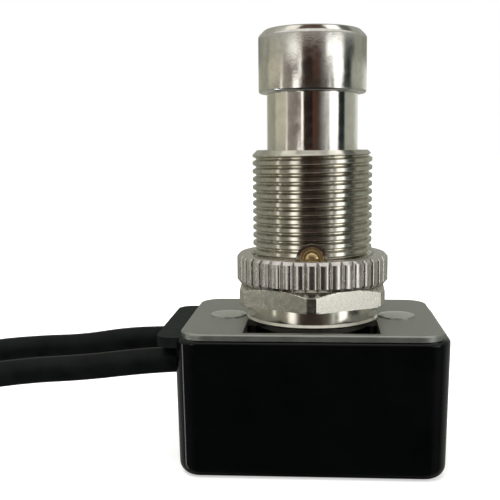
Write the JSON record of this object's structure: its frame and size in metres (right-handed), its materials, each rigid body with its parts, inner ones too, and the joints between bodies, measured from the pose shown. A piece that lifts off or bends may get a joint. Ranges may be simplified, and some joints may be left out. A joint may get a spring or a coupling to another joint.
{
  "type": "pushbutton canopy switch",
  "caption": "Push-button canopy switch: threaded metal bushing with a knurled ring nut and a thin hexagon nut, polished cap, black moulded case and wire leads.",
  "frame": {"origin": "on the button's axis at the bottom face of the moulded case", "axes": "+Z out of the case along the bushing and the button, +X along the case away from the leads, -Y the side that the bushing's guide pin faces"},
  "size_m": [0.123, 0.0176, 0.0425],
  "materials": {
    "black_moulding": "moulded gloss",
    "black_fibre": "matte",
    "plate_steel": "satin zinc",
    "satin_nickel": "satin nickel plate",
    "bright_nickel": "polished nickel plate",
    "brass": "bright",
    "silver_point": "satin",
    "spring_steel": "bright",
    "brown_fibre": "matte",
    "lead_sleeve": "soft satin",
    "tinned_copper": "tinned strand"
  },
  "bodies": {
    "body": {"case": "black_moulding", "wire_guard": "black_fibre", "mounting_plate": "plate_steel", "rivet_left": "plate_steel", "rivet_right": "plate_steel", "bushing": "satin_nickel", "guide_pin": "brass", "bearing_plate": "brown_fibre", "return_spring": "spring_steel", "contact_front": "brass", "contact_back": "brass", "contact_point_front": "silver_point", "contact_point_back": "silver_point", "strand_front": "tinned_copper", "strand_back": "tinned_copper", "lead_front": "lead_sleeve", "lead_back": "lead_sleeve", "bare_end_front": "tinned_copper", "bare_end_back": "tinned_copper"},
    "button": {"stem": "bright_nickel", "button_cap": "bright_nickel", "drive_disc": "spring_steel"},
    "rotor": {"rotor": "brown_fibre", "drive_strip": "spring_steel", "moving_bar": "brass"},
    "hex_nut": {"hex_nut": "satin_nickel"},
    "ring_nut": {"ring_nut": "satin_nickel"}
  },
  "joints": [
    {"name": "button_push", "type": "slide", "parent": "body", "child": "button", "axis": [0, 0, -1], "range_m": [0, 0.004], "stiffness_N_per_m": 500, "springref_m": -0.004, "deforming": ["return_spring"]},
    {"name": "rotor_turn", "type": "hinge", "parent": "body", "child": "rotor", "pos_m": [0, 0, 0.00218], "axis": [0, 0, 1], "range_deg": [0, 90]},
    {"name": "hex_nut_slide", "type": "slide", "parent": "body", "child": "hex_nut", "axis": [0, 0, 1], "range_m": [0, 0.0051]},
    {"name": "ring_nut_slide", "type": "slide", "parent": "hex_nut", "child": "ring_nut", "axis": [0, 0, 1], "range_m": [0, 0.0051]}
  ],
  "couplings": [
    {"joint": "rotor_turn", "follows": "button_push", "rad_per_m": 392.69}
  ]
}
